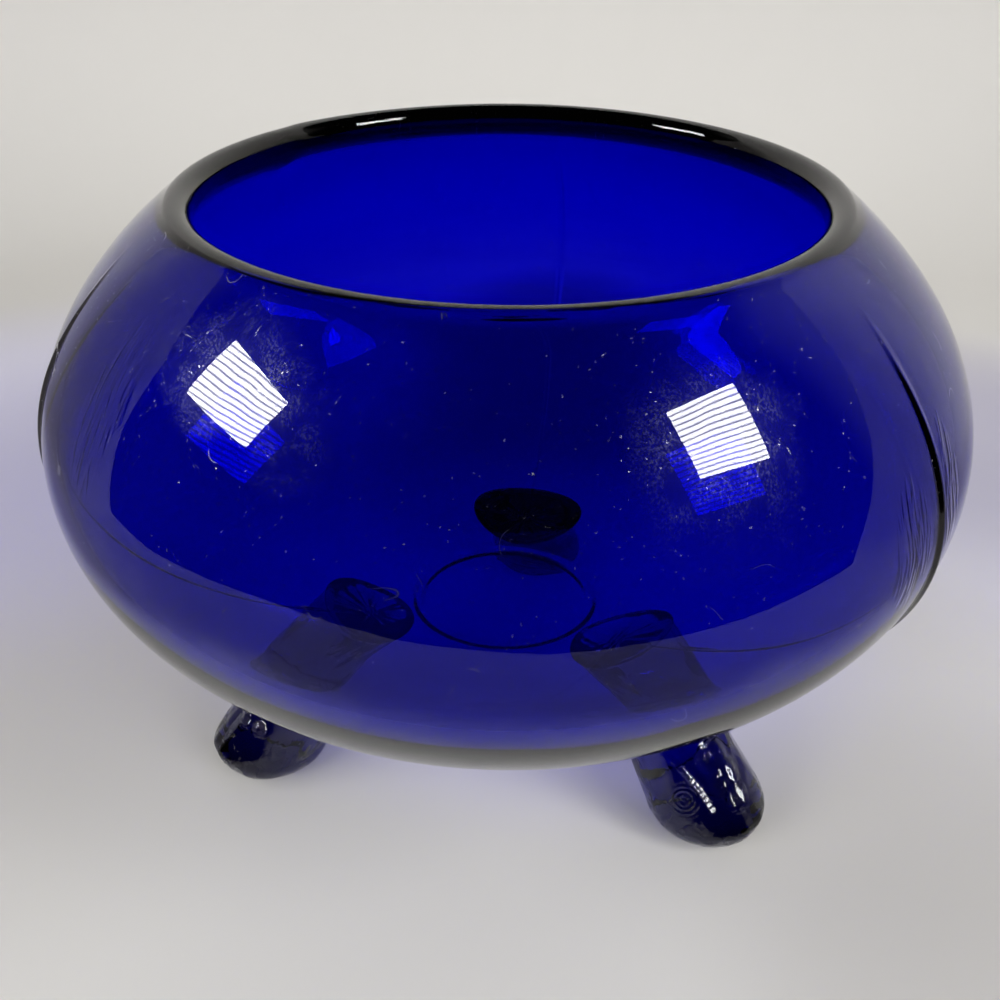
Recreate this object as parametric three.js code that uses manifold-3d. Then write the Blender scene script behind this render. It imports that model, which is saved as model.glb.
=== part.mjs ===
// Footed rose bowl in cobalt glass: a round-bellied bowl with an inturned mouth, on three splayed toes.
// Millimetres, +Z up, origin on the floor under the middle of the bowl. The rear foot points along +Y.

import * as THREE from 'three';
import Module from 'manifold-3d';

// Driving dimensions of the bowl
const bellyRadius = 63.5; // outside, at the widest ring
const bellyHeight = 60.8; // floor to the widest ring
const overallHeight = 92.2; // floor to the top of the lip
const undersideDrop = 40; // widest ring to the middle of the underside
const mouthRadius = 40.3; // clear opening inside the lip
const lipRadius = 2.1; // half the thickness of the rounded lip
const lipFace = 0.8; // height of the upright face inside the lip
const lipUndercut = 2.6; // how far the rounding under the lip runs out into the wall
const wallThickness = 3.2; // at the belly
const rimGrowth = 1.8; // how much thicker than that the wall is where it meets the lip
const growthStart = -0.15; // where it starts to thicken, in radians of the profile's angle
const baseThickness = 5.5; // under the middle
const shoulderSlack = 0.043; // how far the shoulder is drawn in from a true ellipse, as a share
const undersideSlack = 0.016; // the same for the underside

// Driving dimensions of the ring that the mould's bottom plate leaves under the base
const ringRadius = 14.5;
const ringHalfWidth = 1.5;
const ringHeight = 0.5;

// Driving dimensions of the mould seams, one above each foot
const seamHeight = 0.4;
const seamHalfWidth = 1.0; // at the widest ring
const seamTop = 0.9; // where it has faded out, as a share of the way from the belly to the lip
const seamRunIn = 0.45; // how far it takes to rise from the ring, as a share of the underside

// Driving dimensions of the feet
const footCount = 3;
const footReach = 41; // bowl's axis to the middle of the toe
const waistReach = 33.5; // bowl's axis to the middle of the slimmest part
const ankleReach = 23.3; // bowl's axis to the middle of the ankle, on the underside
const soleHalfWidth = 5; // the flat that the foot stands on, across the foot
const soleHalfLength = 5.5; // the same flat along the foot
const toeRise = 4.6; // floor to the fullest part of the toe
const toeHalfWidth = 9.1;
const toeHalfLength = 9.6;
const waistRise = 15; // floor to the slimmest part of the foot
const waistHalfWidth = 8.2;
const waistHalfLength = 8.8;
const ankleHalfWidth = 9.6; // where the foot runs out into the underside
const ankleHalfLength = 6.8;
const ankleTaper = 0.25; // how much wider the ankle is on its outer side than in its middle
const seatGap = 0.3; // clearance between a foot's seat and the underside

// Facets
const sectorColumns = 19; // between one seam and the next
const baseSteps = 2; // inside the ring
const ringSteps = 4;
const undersideSteps = 12; // from the ring to the belly
const shoulderSteps = 9;
const lipSteps = 7;
const undercutSteps = 3;
const innerSteps = 18;
const footSides = 24;
const toeSteps = 5;
const instepSteps = 4;
const ankleSteps = 5;

// How finely the shapes are worked out
const halvings = 50; // of the range in a search
const tangentStep = 1e-4; // radians, for a profile's direction
const steepestDome = 10 * overallHeight; // where the search for the dome's rise ends

const quarterTurn = Math.PI / 2;
const lipCentre = new THREE.Vector2(mouthRadius + lipRadius, overallHeight - lipRadius);

// Finds where a rising function of one value meets its target between two ends.
function solve(rising, target, low, high) {
  for (let step = 0; step < halvings; step += 1) {
    const middle = (low + high) / 2;
    if (rising(middle) < target) low = middle;
    else high = middle;
  }
  return (low + high) / 2;
}

function smooth(share) {
  const s = Math.min(Math.max(share, 0), 1);
  return s * s * (3 - 2 * s);
}

// A quarter ellipse, drawn in a little between its ends. Its angle is 0 at the belly.
function quarterProfile(rise, slack, angle) {
  const shrink = 1 - slack * Math.sin(2 * angle) ** 2;
  const radius = bellyRadius * Math.cos(angle) * shrink;
  return new THREE.Vector2(radius, bellyHeight + rise * Math.sin(angle) * shrink);
}

// Direction of a profile at an angle, going up the wall.
function direction(profile, angle) {
  return profile(angle + tangentStep).sub(profile(angle - tangentStep)).normalize();
}

// The point at a depth under a profile's surface.
function under(profile, angle, depth) {
  const along = direction(profile, angle);
  return profile(angle).addScaledVector(new THREE.Vector2(along.y, -along.x), -depth);
}

// The shoulder is part of a dome that would close above the mouth. It runs into the lip without a
// kink, so the dome's rise is the one that brings a point at the lip's radius under it to its centre.
function shoulderEnd(rise) {
  const shoulder = (angle) => quarterProfile(rise, shoulderSlack, angle);
  const angle = solve((a) => -under(shoulder, a, lipRadius).x, -lipCentre.x, 0, quarterTurn);
  return { angle, height: under(shoulder, angle, lipRadius).y };
}

const domeRise = solve((rise) => shoulderEnd(rise).height, lipCentre.y, 0, steepestDome);
const lipAngle = shoulderEnd(domeRise).angle;

// Outer profile. Its angle runs from -90 degrees under the middle, over 0 at the belly, up to the lip.
function outerPoint(angle) {
  if (angle < 0) return quarterProfile(undersideDrop, undersideSlack, angle);
  return quarterProfile(domeRise, shoulderSlack, angle);
}

function outwardNormal(angle) {
  const along = direction(outerPoint, angle);
  return new THREE.Vector2(along.y, -along.x);
}

// Inner profile: the outer one less the wall, which thickens towards the middle of the base and,
// more gently, towards the lip.
function innerPoint(angle) {
  const thickening = angle < 0 ? Math.sin(angle) ** 2 : 0;
  const growth = rimGrowth * smooth((angle - growthStart) / (lipAngle - growthStart));
  const thickness = wallThickness + (baseThickness - wallThickness) * thickening + growth;
  return under(outerPoint, angle, thickness);
}

// The angle at which the underside reaches a radius.
function undersideAngle(radius) {
  return solve((a) => outerPoint(a).x, radius, -quarterTurn, 0);
}

const ringInside = undersideAngle(ringRadius - ringHalfWidth);
const ringOutside = undersideAngle(ringRadius + ringHalfWidth);

// How far the ring stands out of the underside.
function ringAt(angle) {
  const offset = (outerPoint(angle).x - ringRadius) / ringHalfWidth;
  return angle < 0 && Math.abs(offset) < 1 ? ringHeight * Math.cos(offset * quarterTurn) ** 2 : 0;
}

// Height of a seam's ridge on the outer profile. It rises from the ring and fades out below the lip.
function ridgeAt(angle) {
  const topAngle = seamTop * lipAngle;
  const fading = smooth((topAngle - angle) / topAngle);
  const rising = smooth((angle - ringOutside) / (-ringOutside * seamRunIn));
  return seamHeight * fading * rising;
}

// Evenly spaced values from one end up to, but not at, the other.
function spread(from, to, steps) {
  return Array.from({ length: steps }, (_, step) => from + ((to - from) * step) / steps);
}

// Points of the outer profile, moved outwards by a clearance, from the axis up to the lip.
function outerWall(clearance) {
  const angles = [
    ...spread(-quarterTurn, ringInside, baseSteps),
    ...spread(ringInside, ringOutside, ringSteps),
    ...spread(ringOutside, 0, undersideSteps),
    ...spread(0, lipAngle, shoulderSteps),
    lipAngle,
  ];
  const points = angles.map((angle) => {
    const normal = outwardNormal(angle);
    const at = outerPoint(angle).addScaledVector(normal, clearance + ringAt(angle));
    return { at, normal, ridge: ridgeAt(angle) };
  });
  points[0].at.x = 0;
  return points;
}

// The rounded lip, from the end of the outer wall over the top to the clear opening.
function lip() {
  const start = outwardNormal(lipAngle).angle();
  const points = [];
  for (let step = 1; step <= lipSteps; step += 1) {
    const turn = start + ((Math.PI - start) * step) / lipSteps;
    const radial = new THREE.Vector2(Math.cos(turn), Math.sin(turn));
    points.push({ at: lipCentre.clone().addScaledVector(radial, lipRadius) });
  }
  return points;
}

// The rounding under the lip and the inner wall, down to the axis.
function innerWall() {
  const meetRadius = mouthRadius + lipUndercut;
  const meetAngle = solve((a) => -innerPoint(a).x, -meetRadius, 0, lipAngle);
  const meet = innerPoint(meetAngle);
  const along = direction(innerPoint, meetAngle);
  const corner = meet.clone().addScaledVector(along, (mouthRadius - meet.x) / along.x);
  const start = new THREE.Vector2(mouthRadius, lipCentre.y - lipFace);
  const rounding = new THREE.QuadraticBezierCurve(start, corner, meet);
  const points = [];
  for (let step = 0; step < undercutSteps; step += 1) {
    points.push({ at: rounding.getPoint(step / undercutSteps) });
  }
  for (let step = 0; step <= innerSteps; step += 1) {
    const share = step / innerSteps;
    points.push({ at: innerPoint(meetAngle + (-quarterTurn - meetAngle) * share) });
  }
  points[points.length - 1].at.x = 0;
  return points;
}

// Directions of the columns round the axis: close together across each seam, even in between.
// A column's bump is 1 on the seam's crest and 0 away from it.
function columns() {
  const halfAngle = seamHalfWidth / bellyRadius;
  const sector = (2 * Math.PI) / footCount;
  const list = [];
  for (let foot = 0; foot < footCount; foot += 1) {
    const seam = quarterTurn + foot * sector;
    for (const offset of [-1, -0.5, 0, 0.5]) {
      list.push({ angle: seam + offset * halfAngle, bump: Math.cos(offset * quarterTurn) ** 2 });
    }
    for (let column = 0; column < sectorColumns; column += 1) {
      const share = column / sectorColumns;
      list.push({ angle: seam + halfAngle + (sector - 2 * halfAngle) * share, bump: 0 });
    }
  }
  return list;
}

// Joins rings of points into one closed body. Each end is closed by a fan to its own middle point.
function closedBody(rings, firstMiddle, lastMiddle) {
  const sides = rings[0].length;
  const positions = [];
  for (const ring of rings) {
    for (const point of ring) positions.push(point.x, point.y, point.z);
  }
  positions.push(firstMiddle.x, firstMiddle.y, firstMiddle.z);
  positions.push(lastMiddle.x, lastMiddle.y, lastMiddle.z);
  const first = rings.length * sides;
  const last = first + 1;
  const lastRing = (rings.length - 1) * sides;
  const triangles = [];
  for (let side = 0; side < sides; side += 1) {
    const next = (side + 1) % sides;
    triangles.push(first, next, side);
    triangles.push(last, lastRing + side, lastRing + next);
    for (let ring = 0; ring < rings.length - 1; ring += 1) {
      const low = ring * sides;
      const high = low + sides;
      triangles.push(low + side, low + next, high + next);
      triangles.push(low + side, high + next, high + side);
    }
  }
  const geometry = new THREE.BufferGeometry();
  geometry.setAttribute('position', new THREE.Float32BufferAttribute(positions, 3));
  geometry.setIndex(triangles);
  return geometry;
}

// Turns a profile that starts and ends on the axis, with the seams raised where it carries a ridge.
function turned(profile) {
  const around = columns();
  const rings = profile.slice(1, -1).map(({ at, normal, ridge = 0 }) =>
    around.map(({ angle, bump }) => {
      const lift = ridge * bump;
      const radius = lift > 0 ? at.x + normal.x * lift : at.x;
      const height = lift > 0 ? at.y + normal.y * lift : at.y;
      return new THREE.Vector3(radius * Math.cos(angle), radius * Math.sin(angle), height);
    }),
  );
  const bottom = new THREE.Vector3(0, 0, profile[0].at.y);
  const top = new THREE.Vector3(0, 0, profile[profile.length - 1].at.y);
  return closedBody(rings, bottom, top);
}

function bowlGeometry() {
  return turned([...outerWall(0), ...lip(), ...innerWall()]);
}

// The bowl's outer shape without its hollow, grown by the seat's clearance. It cuts the feet's seats.
function seatCutter() {
  const wall = outerWall(seatGap);
  const rim = wall[wall.length - 1].at;
  return turned([...wall, { at: new THREE.Vector2(0, rim.y) }]);
}

// Sections of a foot from the sole up: a rounded toe, a slimmer waist and a flare into the underside.
// The foot leans in evenly up to its waist, and from there ever faster towards the ankle. The last
// section lies inside the bowl, so that the whole seat is cut to the underside.
function footSections() {
  const ankleRise = outerPoint(undersideAngle(ankleReach)).y;
  const lean = (footReach - waistReach) / (waistRise - toeRise);
  const evenly = lean * (ankleRise - waistRise);
  const faster = waistReach - ankleReach - evenly;
  const reachAt = (rise) => {
    if (rise <= waistRise) return footReach - lean * Math.max(rise - toeRise, 0);
    const share = (rise - waistRise) / (ankleRise - waistRise);
    return waistReach - evenly * share - faster * share ** 2;
  };
  const sections = [];
  for (let step = 0; step <= toeSteps; step += 1) {
    const turn = (quarterTurn * step) / toeSteps;
    sections.push({
      rise: toeRise * (1 - Math.cos(turn)),
      halfWidth: soleHalfWidth + (toeHalfWidth - soleHalfWidth) * Math.sin(turn),
      halfLength: soleHalfLength + (toeHalfLength - soleHalfLength) * Math.sin(turn),
    });
  }
  for (let step = 1; step <= instepSteps; step += 1) {
    const share = step / instepSteps;
    sections.push({
      rise: toeRise + (waistRise - toeRise) * share,
      halfWidth: toeHalfWidth + (waistHalfWidth - toeHalfWidth) * smooth(share),
      halfLength: toeHalfLength + (waistHalfLength - toeHalfLength) * smooth(share),
    });
  }
  for (let step = 1; step <= ankleSteps; step += 1) {
    const share = step / ankleSteps;
    sections.push({
      rise: waistRise + (ankleRise - waistRise) * share,
      halfWidth: waistHalfWidth + (ankleHalfWidth - waistHalfWidth) * share ** 2,
      halfLength: waistHalfLength + (ankleHalfLength - waistHalfLength) * share ** 2,
      taper: ankleTaper * share,
    });
  }
  sections.push({ ...sections[sections.length - 1], rise: ankleRise + ankleHalfLength });
  for (const section of sections) section.reach = reachAt(section.rise);
  return sections;
}

// A foot's body before its seat is cut, standing out along +X.
function footBody() {
  const sections = footSections();
  const rings = sections.map(({ rise, halfWidth, halfLength, reach, taper = 0 }) => {
    const ring = [];
    for (let side = 0; side < footSides; side += 1) {
      const turn = (2 * Math.PI * side) / footSides;
      const across = halfWidth * Math.sin(turn) * (1 + taper * Math.cos(turn));
      ring.push(new THREE.Vector3(reach + halfLength * Math.cos(turn), across, rise));
    }
    return ring;
  });
  const sole = new THREE.Vector3(sections[0].reach, 0, sections[0].rise);
  const lastSection = sections[sections.length - 1];
  return closedBody(rings, sole, new THREE.Vector3(lastSection.reach, 0, lastSection.rise));
}

// Booleans
const wasm = await Module();
wasm.setup();

function toSolid(geometry) {
  return new wasm.Manifold(
    new wasm.Mesh({
      numProp: 3,
      vertProperties: new Float32Array(geometry.attributes.position.array),
      triVerts: new Uint32Array(geometry.index.array),
    }),
  );
}

function toGeometry(solid) {
  const mesh = solid.getMesh();
  const geometry = new THREE.BufferGeometry();
  geometry.setAttribute('position', new THREE.BufferAttribute(new Float32Array(mesh.vertProperties), 3));
  geometry.setIndex(new THREE.BufferAttribute(new Uint32Array(mesh.triVerts), 1));
  return geometry;
}

const cutter = toSolid(seatCutter());

// A finished foot in its place round the axis, seated against the underside.
function footGeometry(azimuth) {
  const body = footBody();
  body.rotateZ(azimuth);
  return toGeometry(toSolid(body).subtract(cutter));
}

// Assembly
function cobaltGlass() {
  return new THREE.MeshStandardMaterial({
    color: 0x0c0aa0,
    roughness: 0.04,
    metalness: 0,
    transparent: true,
    opacity: 0.82,
  });
}

function part(name, geometry) {
  geometry.computeVertexNormals();
  const mesh = new THREE.Mesh(geometry, cobaltGlass());
  mesh.name = name;
  return mesh;
}

const group = new THREE.Group();
group.add(part('bowl', bowlGeometry()));

const footNames = ['foot_rear', 'foot_front_left', 'foot_front_right'];
for (let foot = 0; foot < footCount; foot += 1) {
  const name = footNames[foot] ?? `foot_${foot + 1}`;
  group.add(part(name, footGeometry(quarterTurn + (foot * 2 * Math.PI) / footCount)));
}

export default group;
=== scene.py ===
"""Footed rose bowl in cobalt blue glass: the finished glass, the stage and the camera.

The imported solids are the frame. The bowl and its three feet are modelled again here as smooth
glass in the same places, with the seams, ripples and marks that pressed glass keeps.
"""

import logging
import math
from dataclasses import dataclass, field
from enum import Enum
from functools import cached_property
from typing import Any, Callable, Iterator

import bmesh
import bpy
from mathutils import Matrix, Vector, noise


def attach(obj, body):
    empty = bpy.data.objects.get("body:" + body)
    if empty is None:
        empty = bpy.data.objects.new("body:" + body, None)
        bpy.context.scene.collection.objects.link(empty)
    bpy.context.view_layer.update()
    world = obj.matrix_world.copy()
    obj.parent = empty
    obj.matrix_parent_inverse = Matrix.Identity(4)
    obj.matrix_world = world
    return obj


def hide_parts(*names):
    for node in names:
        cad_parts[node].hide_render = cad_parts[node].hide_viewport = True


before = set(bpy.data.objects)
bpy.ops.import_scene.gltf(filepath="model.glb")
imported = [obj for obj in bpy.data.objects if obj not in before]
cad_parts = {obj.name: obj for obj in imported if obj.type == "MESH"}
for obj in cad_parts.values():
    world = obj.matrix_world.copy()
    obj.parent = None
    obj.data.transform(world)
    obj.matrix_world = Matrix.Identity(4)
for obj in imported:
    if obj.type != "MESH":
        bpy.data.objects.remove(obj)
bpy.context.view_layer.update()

log = logging.getLogger("rose_bowl")

MM = 0.001
QUARTER = math.pi / 2
FULL = 2 * math.pi


class Slot(Enum):
    """The record's material slots."""

    BODY = "cobalt_glass_body"
    FEET = "cobalt_glass_feet"


def smooth(share: float) -> float:
    """Eases a share from 0 to 1."""
    s = min(max(share, 0.0), 1.0)
    return s * s * (3 - 2 * s)


def solve(rising: Callable[[float], float], target: float, low: float, high: float) -> float:
    """Finds where a rising function meets its target.

    Args:
        rising: The function of one value.
        target: What it should give.
        low: One end of the search.
        high: The other end.

    Returns:
        The value that meets the target.
    """
    for _ in range(60):
        middle = (low + high) / 2
        if rising(middle) < target:
            low = middle
        else:
            high = middle
    return (low + high) / 2


def spread(start: float, end: float, steps: int) -> list[float]:
    """Evenly spaced values from one end up to, but not at, the other."""
    return [start + (end - start) * step / steps for step in range(steps)]


def grow(bm: bmesh.types.BMesh) -> set[bmesh.types.BMVert]:
    """Extrudes a mesh's open edge and gives the new vertices, still in place."""
    edges = [e for e in bm.edges if e.is_boundary]
    grown = bmesh.ops.extrude_edge_only(bm, edges=edges)["geom"]
    return {v for v in grown if isinstance(v, bmesh.types.BMVert)}


def grown_from(vert: bmesh.types.BMVert, fresh: set[bmesh.types.BMVert]) -> bmesh.types.BMVert:
    """Finds the one of the new vertices that was extruded from a vertex."""
    return next(e.other_vert(vert) for e in vert.link_edges if e.other_vert(vert) in fresh)


def make_object(bm: bmesh.types.BMesh, name: str, material: bpy.types.Material) -> bpy.types.Object:
    """Makes a smooth object of a mesh in metres, which it frees."""
    mesh = bpy.data.meshes.new(name)
    bm.to_mesh(mesh)
    bm.free()
    for polygon in mesh.polygons:
        polygon.use_smooth = True
    mesh.materials.append(material)
    made = bpy.data.objects.new(name, mesh)
    bpy.context.scene.collection.objects.link(made)
    return made


def aim(thing: bpy.types.Object, place: Vector, back: Vector, side: Vector, roll: float) -> None:
    """Puts a lamp or a camera in its place and in the scene.

    Args:
        thing: The lamp or camera.
        place: Where it goes, in metres.
        back: The way that it faces away from.
        side: The level way to its right.
        roll: How far it is turned about its back, in radians.
    """
    up = back.cross(side)
    across = side * math.cos(roll) + up * math.sin(roll)
    high = up * math.cos(roll) - side * math.sin(roll)
    basis = Matrix((across, high, back)).transposed().to_4x4()
    thing.matrix_world = Matrix.Translation(place) @ basis
    bpy.context.scene.collection.objects.link(thing)


class Wire:
    """A node's output in an expression. Arithmetic on it adds Math nodes."""

    def __init__(self, graph: "Graph", socket: bpy.types.NodeSocket) -> None:
        """Keeps the graph and the output socket."""
        self.graph = graph
        self.socket = socket

    def _math(self, operation: str, *values: Any) -> "Wire":
        """Adds one Math node and returns its value."""
        return self.graph.node("ShaderNodeMath", {"operation": operation}, dict(enumerate(values)))

    def __add__(self, other: Any) -> "Wire":
        """Adds."""
        return self._math("ADD", self, other)

    __radd__ = __add__

    def __sub__(self, other: Any) -> "Wire":
        """Subtracts."""
        return self._math("SUBTRACT", self, other)

    def __rsub__(self, other: Any) -> "Wire":
        """Subtracts this from a number."""
        return self._math("SUBTRACT", other, self)

    def __mul__(self, other: Any) -> "Wire":
        """Multiplies."""
        return self._math("MULTIPLY", self, other)

    __rmul__ = __mul__

    def __truediv__(self, other: Any) -> "Wire":
        """Divides."""
        return self._math("DIVIDE", self, other)

    def __mod__(self, other: Any) -> "Wire":
        """What is left of a division, never negative."""
        return self._math("FLOORED_MODULO", self, other)

    def __abs__(self) -> "Wire":
        """The size without its sign."""
        return self._math("ABSOLUTE", self)

    def turn(self, other: Any) -> "Wire":
        """The angle whose tangent is this over another value, in radians."""
        return self._math("ARCTAN2", self, other)

    def rise(self, low: float, high: float) -> "Wire":
        """Goes smoothly from 0 at low to 1 at high."""
        settings = {"interpolation_type": "SMOOTHSTEP"}
        inputs = {"Value": self, "From Min": low, "From Max": high}
        return self.graph.node("ShaderNodeMapRange", settings, inputs)

    def least(self, other: Any) -> "Wire":
        """The smaller of two values."""
        return self._math("MINIMUM", self, other)

    def most(self, other: Any) -> "Wire":
        """The larger of two values."""
        return self._math("MAXIMUM", self, other)


class Graph:
    """A node tree under construction."""

    def __init__(self, tree: bpy.types.NodeTree) -> None:
        """Empties the tree."""
        self.tree = tree
        tree.nodes.clear()

    def node(
        self,
        kind: str,
        settings: dict[str, Any] | None = None,
        inputs: dict[Any, Any] | None = None,
        output: Any = 0,
    ) -> Wire:
        """Adds a node.

        Args:
            kind: The node's type.
            settings: Its properties, set before its sockets.
            inputs: Values or wires by the input's name or number.
            output: The name or number of the output that is wanted.

        Returns:
            That output.
        """
        made = self.tree.nodes.new(kind)
        for name, value in (settings or {}).items():
            setattr(made, name, value)
        for name, value in (inputs or {}).items():
            if isinstance(value, Wire):
                self.tree.links.new(value.socket, made.inputs[name])
            else:
                made.inputs[name].default_value = value
        return Wire(self, made.outputs[output]) if len(made.outputs) else None

    def place(self) -> Wire:
        """The point on the surface, in the object's own metres."""
        return self.node("ShaderNodeTexCoord", output="Object")

    def stored(self, name: str, output: str = "Fac") -> Wire:
        """A value kept on the mesh's own vertices."""
        return self.node("ShaderNodeAttribute", {"attribute_name": name}, output=output)

    def noise(self, scale: float, detail: float = 2.0, vector: Wire | None = None) -> Wire:
        """Soft noise from 0 to 1 with a number of waves to the unit."""
        inputs = {"Vector": vector or self.place(), "Scale": scale, "Detail": detail}
        return self.node("ShaderNodeTexNoise", inputs=inputs)

    def scaled(self, vector: Wire, scale: tuple[float, float, float]) -> Wire:
        """A vector with each axis scaled."""
        return self.node("ShaderNodeMapping", inputs={"Vector": vector, "Scale": scale})

    def join(self, x: Any, y: Any, z: Any = 0.0) -> Wire:
        """A vector made of three parts."""
        return self.node("ShaderNodeCombineXYZ", inputs={0: x, 1: y, 2: z})

    def split(self, vector: Wire) -> tuple[Wire, Wire, Wire]:
        """The three parts of a vector."""
        made = self.tree.nodes.new("ShaderNodeSeparateXYZ")
        self.tree.links.new(vector.socket, made.inputs[0])
        return tuple(Wire(self, part) for part in made.outputs)

    def from_spot(self, spot: "Spot") -> tuple[Wire, Wire]:
        """How far round the wall and how far up a point lies from a spot, in millimetres."""
        x, y, z = self.split(self.place())
        turn = (y.turn(x) - math.radians(spot.azimuth - 90) + math.pi) % FULL - math.pi
        return turn * spot.radius, z * 1000 - spot.height

    def near(self, mark: "Mark", inner: float = 0.4) -> Wire:
        """1 at a mark, fading to 0 at its reach."""
        return 1 - self.distance(mark.place).rise(mark.reach * inner, mark.reach)

    def beyond(self, mark: "Mark", way: tuple[float, float, float]) -> Wire:
        """How far past a mark a point lies along a way, in millimetres."""
        ends = {0: self.place(), 1: tuple(part * MM for part in mark.place)}
        away = self.node("ShaderNodeVectorMath", {"operation": "SUBTRACT"}, ends)
        along = {0: away, 1: tuple(part * 1000 for part in way)}
        return self.node("ShaderNodeVectorMath", {"operation": "DOT_PRODUCT"}, along, output="Value")

    def distance(self, place: tuple[float, float, float]) -> Wire:
        """How far a point lies from a place, in millimetres."""
        ends = {0: self.place(), 1: tuple(part * MM for part in place)}
        return self.node("ShaderNodeVectorMath", {"operation": "DISTANCE"}, ends, output="Value") * 1000

    def oval(self, spot: "Spot", ragged: float = 0.5, detail: float = 260.0) -> Wire:
        """1 inside an oval round a spot of the wall, with a ragged edge that fades to 0."""
        across, up = self.from_spot(spot)
        across, up = across / spot.half_width, up / spot.half_height
        edge = (self.noise(detail, 3.0) - 0.5) * ragged * 2
        return 1 - (across * across + up * up + edge).rise(0.35, 1.15)


@dataclass(frozen=True)
class Spot:
    """A place on the bowl's wall. Its azimuth runs from -Y towards +X in degrees, the rest is in mm."""

    azimuth: float
    height: float
    half_width: float
    half_height: float
    strength: float = 1.0
    radius: float = 58.0


@dataclass(frozen=True)
class Mark:
    """A place on a foot with how far a mark reaches from it and how high it stands, in millimetres."""

    place: tuple[float, float, float]
    reach: float
    height: float


@dataclass(frozen=True)
class CobaltGlass:
    """Clear glass that takes out all but blue."""

    name: str
    ior: float = 1.51
    passes: tuple[float, float, float, float] = (0.0, 0.0, 0.938, 1.0)
    density: float = 1700.0
    film_roughness: float = 0.3

    def relief(self, graph: Graph) -> Wire | None:
        """How far the surface stands out, in millimetres, or nothing on even glass."""
        return None

    def film(self, graph: Graph) -> Wire | float:
        """How much of the surface a film of handling covers."""
        return 0.0

    def dust(self, graph: Graph) -> Wire | float:
        """Where a speck of dust lies."""
        return 0.0

    def make(self) -> bpy.types.Material:
        """Builds the material.

        Returns:
            The glass, with its absorption inside.
        """
        material = bpy.data.materials.new(self.name)
        material.use_nodes = True
        graph = Graph(material.node_tree)
        dust = self.dust(graph)
        inputs = {
            "Base Color": (1.0, 1.0, 1.0, 1.0),
            "Metallic": dust,
            "Roughness": dust * 0.6,
            "IOR": self.ior,
            "Transmission Weight": 1.0,
            "Coat Weight": self.film(graph),
            "Coat Roughness": self.film_roughness,
        }
        relief = self.relief(graph)
        if relief:
            height = {"Strength": 1.0, "Distance": MM, "Height": relief}
            inputs["Normal"] = graph.node("ShaderNodeBump", inputs=height)
        shader = graph.node("ShaderNodeBsdfPrincipled", inputs=inputs)
        inside = graph.node(
            "ShaderNodeVolumeAbsorption", inputs={"Color": self.passes, "Density": self.density}
        )
        graph.node("ShaderNodeOutputMaterial", inputs={"Surface": shader, "Volume": inside})
        return material


@dataclass(frozen=True)
class HandledGlass(CobaltGlass):
    """The bowl's wall: chill wrinkles beside the seams, rubbed film, dust and short fibres.

    Each layer of specks has its number of cells to the metre, a speck's size as a share of a cell,
    and the share of cells without one. Dust fades in between two heights in metres.
    """

    wrinkles: tuple[Spot, ...] = (
        Spot(54.0, 66.0, 4.0, 8.0, 0.06),
        Spot(63.3, 68.0, 2.2, 8.5, 0.09),
        Spot(-39.0, 78.0, 4.5, 9.0, 0.03),
    )
    smears: tuple[Spot, ...] = (
        Spot(-23.0, 85.5, 11.0, 5.5, 0.30),
        Spot(-12.0, 81.5, 6.0, 4.5, 0.16),
        Spot(31.0, 82.0, 11.0, 6.5, 0.22),
        Spot(30.0, 75.0, 9.0, 4.0, 0.14),
    )
    specks: tuple[tuple[float, float, float], ...] = ((1300.0, 0.07, 0.6), (520.0, 0.045, 0.5))
    fibre_half_width: float = 0.006
    fibre_strength: float = 0.6
    dust_strength: float = 0.8
    dust_fades: tuple[float, float] = (0.045, 0.075)

    def relief(self, graph: Graph) -> Wire:
        """Long wavy creases in each patch of wrinkles."""
        total = 0.0
        for spot in self.wrinkles:
            across, up = graph.from_spot(spot)
            sway = (graph.noise(55.0, 1.0) - 0.5) * 5.0
            lines = graph.noise(1.0, 1.5, graph.join(across * 0.75 + sway, up * 0.11, spot.azimuth))
            crease = 1 - abs(lines - 0.5).rise(0.0, 0.16)
            total = crease * graph.oval(spot, 0.35) * spot.strength + total
        return total * graph.stored("outside")

    def film(self, graph: Graph) -> Wire:
        """Rubbed smears with a fine grain, and a faint trace of them everywhere."""
        grain = graph.noise(4200.0, 1.0, graph.scaled(graph.place(), (1.0, 1.0, 0.6))).rise(0.45, 0.68)
        patchy = graph.noise(420.0, 3.0).rise(0.38, 0.62)
        broad = graph.noise(34.0, 3.0).rise(0.5, 0.75) * 0.05
        for spot in self.smears:
            broad = broad + graph.oval(spot, 0.9, 150.0) * spot.strength
        return (grain * patchy * 1.6 + 0.16) * broad * graph.stored("outside")

    def dust(self, graph: Graph) -> Wire:
        """Specks and short fibres, thickest on the shoulder."""
        bent = graph.node("ShaderNodeTexNoise", inputs={"Scale": 900.0}, output="Color")
        warped = graph.node(
            "ShaderNodeVectorMath",
            {"operation": "MULTIPLY_ADD"},
            {0: bent, 1: (0.0006, 0.0006, 0.0006), 2: graph.place()},
        )
        total = 0.0
        for scale, size, share in self.specks:
            cell = {"Vector": warped, "Scale": scale}
            near = graph.node("ShaderNodeTexVoronoi", inputs=cell, output="Distance")
            kind = graph.node("ShaderNodeTexVoronoi", inputs=cell, output="Color")
            total = (1 - near.rise(size * 0.6, size * 1.5)) * (1 - kind.rise(share, share + 0.02)) + total
        fibre = 1 - abs(graph.noise(160.0, 1.0) - 0.5).rise(0.0, self.fibre_half_width)
        total = fibre * graph.noise(220.0, 0.0).rise(0.68, 0.72) * self.fibre_strength + total
        _, _, z = graph.split(graph.place())
        return total.least(1.0) * z.rise(*self.dust_fades) * graph.stored("outside") * self.dust_strength


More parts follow.
